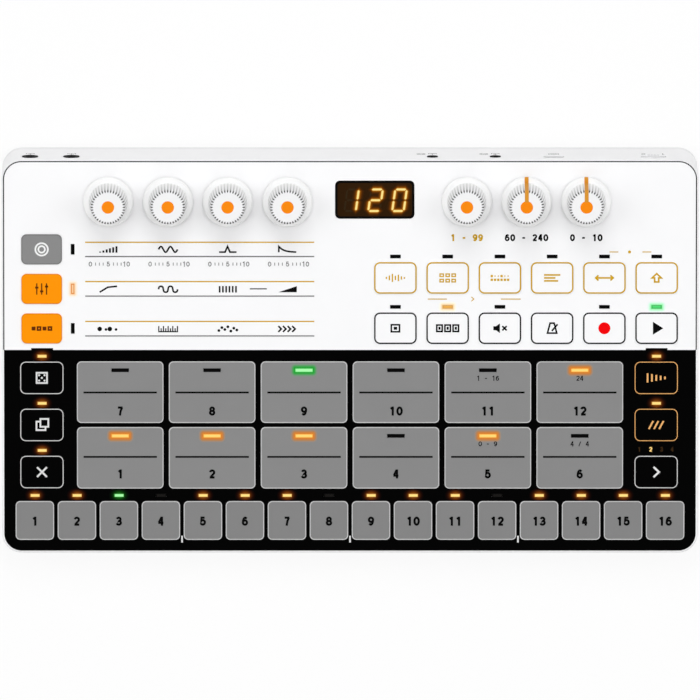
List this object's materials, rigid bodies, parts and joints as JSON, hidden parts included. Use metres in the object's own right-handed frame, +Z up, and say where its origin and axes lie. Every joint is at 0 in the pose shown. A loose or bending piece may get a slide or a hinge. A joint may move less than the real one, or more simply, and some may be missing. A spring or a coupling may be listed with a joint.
{
  "type": "drum machine",
  "caption": "Desktop drum machine: sloping two-part case, fluted knobs, membrane keys, touch pads and steps, small display, rear sockets.",
  "frame": {"origin": "on the table, under the middle of the machine's box", "axes": "+X to the right, along the width; +Y to the back; +Z up"},
  "size_m": [0.256, 0.1491, 0.0491],
  "materials": {
    "case_white": "fine satin moulded plastic",
    "case_base": "fine satin moulded plastic",
    "overlay_white": "satin printed foil",
    "overlay_black": "semi-gloss printed foil",
    "pad_grey": "satin grey touch surface",
    "display_dark": "dark gloss filter window",
    "module_black": "matt",
    "board_green": "solder resist",
    "switch_metal": "plain",
    "rotary_metal": "plain",
    "socket_black": "satin",
    "usb_steel": "plated",
    "switch_grey": "satin",
    "light_off": "dark window",
    "light_amber": "lit window",
    "light_green": "lit window",
    "cell_sleeve": "printed sleeve",
    "contact_steel": "plated spring steel",
    "foot_rubber": "matt",
    "screw_black": "black zinc",
    "door_white": "fine satin moulded plastic",
    "knob_white": "gloss moulded plastic",
    "shaft_metal": "turned",
    "key_white": "satin printed foil",
    "key_grey": "satin printed foil",
    "key_orange": "satin printed foil",
    "key_black": "semi-gloss printed foil"
  },
  "bodies": {
    "case": {"bottom_shell": "case_base", "top_shell": "case_white", "upper_overlay": "overlay_white", "lower_overlay": "overlay_black", "drum_pads": "pad_grey", "step_pads": "pad_grey", "display_window": "display_dark", "display_module": "module_black", "main_board": "board_green", "socket_board": "board_green", "dome_switches": "switch_metal", "rotary_bodies": "rotary_metal", "audio_sockets": "socket_black", "midi_sockets": "socket_black", "usb_socket": "usb_steel", "power_switch_body": "switch_grey", "unlit_lights": "light_off", "amber_lights": "light_amber", "green_lights": "light_green", "batteries": "cell_sleeve", "battery_contacts": "contact_steel", "rubber_feet": "foot_rubber", "screws": "screw_black"},
    "level_control": {"level_knob": "knob_white", "level_shaft": "shaft_metal"},
    "tune_control": {"tune_knob": "knob_white", "tune_shaft": "shaft_metal"},
    "snap_control": {"snap_knob": "knob_white", "snap_shaft": "shaft_metal"},
    "decay_control": {"decay_knob": "knob_white", "decay_shaft": "shaft_metal"},
    "data_control": {"data_knob": "knob_white", "data_shaft": "shaft_metal"},
    "tempo_control": {"tempo_knob": "knob_white", "tempo_shaft": "shaft_metal"},
    "volume_control": {"volume_knob": "knob_white", "volume_shaft": "shaft_metal"},
    "drum_mode_key": {"drum_mode_button": "key_grey"},
    "effects_mode_key": {"effects_mode_button": "key_orange"},
    "sequencer_mode_key": {"sequencer_mode_button": "key_orange"},
    "sound_key": {"sound_button": "key_white"},
    "kit_key": {"kit_button": "key_white"},
    "pattern_key": {"pattern_button": "key_white"},
    "song_key": {"song_button": "key_white"},
    "length_key": {"length_button": "key_white"},
    "alt_key": {"alt_button": "key_white"},
    "select_key": {"select_button": "key_white"},
    "select_all_key": {"select_all_button": "key_white"},
    "mute_key": {"mute_button": "key_white"},
    "tap_tempo_key": {"tap_tempo_button": "key_white"},
    "record_key": {"record_button": "key_white"},
    "play_key": {"play_button": "key_white"},
    "random_key": {"random_button": "key_black"},
    "copy_key": {"copy_button": "key_black"},
    "cancel_key": {"cancel_button": "key_black"},
    "stutter_key": {"stutter_button": "key_black"},
    "roll_key": {"roll_button": "key_black"},
    "next_key": {"next_button": "key_black"},
    "power_switch": {"power_switch_slider": "switch_grey"},
    "door": {"battery_door": "door_white"}
  },
  "joints": [
    {"name": "level_turn", "type": "hinge", "parent": "case", "child": "level_control", "pos_m": [-0.0888, 0.05452, 0.0332], "axis": [0, -0.1478, 0.989], "continuous": true},
    {"name": "tune_turn", "type": "hinge", "parent": "case", "child": "tune_control", "pos_m": [-0.06685, 0.05452, 0.0332], "axis": [0, -0.1478, 0.989], "continuous": true},
    {"name": "snap_turn", "type": "hinge", "parent": "case", "child": "snap_control", "pos_m": [-0.0449, 0.05452, 0.0332], "axis": [0, -0.1478, 0.989], "continuous": true},
    {"name": "decay_turn", "type": "hinge", "parent": "case", "child": "decay_control", "pos_m": [-0.02295, 0.05452, 0.0332], "axis": [0, -0.1478, 0.989], "continuous": true},
    {"name": "data_turn", "type": "hinge", "parent": "case", "child": "data_control", "pos_m": [0.0429, 0.05452, 0.0332], "axis": [0, -0.1478, 0.989], "continuous": true},
    {"name": "tempo_turn", "type": "hinge", "parent": "case", "child": "tempo_control", "pos_m": [0.06485, 0.05452, 0.0332], "axis": [0, -0.1478, 0.989], "range_deg": [-150, 150]},
    {"name": "volume_turn", "type": "hinge", "parent": "case", "child": "volume_control", "pos_m": [0.0868, 0.05452, 0.0332], "axis": [0, -0.1478, 0.989], "range_deg": [-150, 150]},
    {"name": "drum_mode_press", "type": "slide", "parent": "case", "child": "drum_mode_key", "axis": [0, 0.1478, -0.989], "range_m": [0, 0.0005], "stiffness_N_per_m": 3000},
    {"name": "effects_mode_press", "type": "slide", "parent": "case", "child": "effects_mode_key", "axis": [0, 0.1478, -0.989], "range_m": [0, 0.0005], "stiffness_N_per_m": 3000},
    {"name": "sequencer_mode_press", "type": "slide", "parent": "case", "child": "sequencer_mode_key", "axis": [0, 0.1478, -0.989], "range_m": [0, 0.0005], "stiffness_N_per_m": 3000},
    {"name": "sound_press", "type": "slide", "parent": "case", "child": "sound_key", "axis": [0, 0.1478, -0.989], "range_m": [0, 0.0005], "stiffness_N_per_m": 3000},
    {"name": "kit_press", "type": "slide", "parent": "case", "child": "kit_key", "axis": [0, 0.1478, -0.989], "range_m": [0, 0.0005], "stiffness_N_per_m": 3000},
    {"name": "pattern_press", "type": "slide", "parent": "case", "child": "pattern_key", "axis": [0, 0.1478, -0.989], "range_m": [0, 0.0005], "stiffness_N_per_m": 3000},
    {"name": "song_press", "type": "slide", "parent": "case", "child": "song_key", "axis": [0, 0.1478, -0.989], "range_m": [0, 0.0005], "stiffness_N_per_m": 3000},
    {"name": "length_press", "type": "slide", "parent": "case", "child": "length_key", "axis": [0, 0.1478, -0.989], "range_m": [0, 0.0005], "stiffness_N_per_m": 3000},
    {"name": "alt_press", "type": "slide", "parent": "case", "child": "alt_key", "axis": [0, 0.1478, -0.989], "range_m": [0, 0.0005], "stiffness_N_per_m": 3000},
    {"name": "select_press", "type": "slide", "parent": "case", "child": "select_key", "axis": [0, 0.1478, -0.989], "range_m": [0, 0.0005], "stiffness_N_per_m": 3000},
    {"name": "select_all_press", "type": "slide", "parent": "case", "child": "select_all_key", "axis": [0, 0.1478, -0.989], "range_m": [0, 0.0005], "stiffness_N_per_m": 3000},
    {"name": "mute_press", "type": "slide", "parent": "case", "child": "mute_key", "axis": [0, 0.1478, -0.989], "range_m": [0, 0.0005], "stiffness_N_per_m": 3000},
    {"name": "tap_tempo_press", "type": "slide", "parent": "case", "child": "tap_tempo_key", "axis": [0, 0.1478, -0.989], "range_m": [0, 0.0005], "stiffness_N_per_m": 3000},
    {"name": "record_press", "type": "slide", "parent": "case", "child": "record_key", "axis": [0, 0.1478, -0.989], "range_m": [0, 0.0005], "stiffness_N_per_m": 3000},
    {"name": "play_press", "type": "slide", "parent": "case", "child": "play_key", "axis": [0, 0.1478, -0.989], "range_m": [0, 0.0005], "stiffness_N_per_m": 3000},
    {"name": "random_press", "type": "slide", "parent": "case", "child": "random_key", "axis": [0, 0.1478, -0.989], "range_m": [0, 0.0005], "stiffness_N_per_m": 3000},
    {"name": "copy_press", "type": "slide", "parent": "case", "child": "copy_key", "axis": [0, 0.1478, -0.989], "range_m": [0, 0.0005], "stiffness_N_per_m": 3000},
    {"name": "cancel_press", "type": "slide", "parent": "case", "child": "cancel_key", "axis": [0, 0.1478, -0.989], "range_m": [0, 0.0005], "stiffness_N_per_m": 3000},
    {"name": "stutter_press", "type": "slide", "parent": "case", "child": "stutter_key", "axis": [0, 0.1478, -0.989], "range_m": [0, 0.0005], "stiffness_N_per_m": 3000},
    {"name": "roll_press", "type": "slide", "parent": "case", "child": "roll_key", "axis": [0, 0.1478, -0.989], "range_m": [0, 0.0005], "stiffness_N_per_m": 3000},
    {"name": "next_press", "type": "slide", "parent": "case", "child": "next_key", "axis": [0, 0.1478, -0.989], "range_m": [0, 0.0005], "stiffness_N_per_m": 3000},
    {"name": "power_switch_slide", "type": "slide", "parent": "case", "child": "power_switch", "axis": [1, 0, 0], "range_m": [-0.0023, 0.0023]},
    {"name": "battery_door_swing", "type": "hinge", "parent": "case", "child": "door", "pos_m": [-0.037, 0.0345, 0.0029], "axis": [-1, 0, 0], "range_deg": [0, 80]}
  ]
}
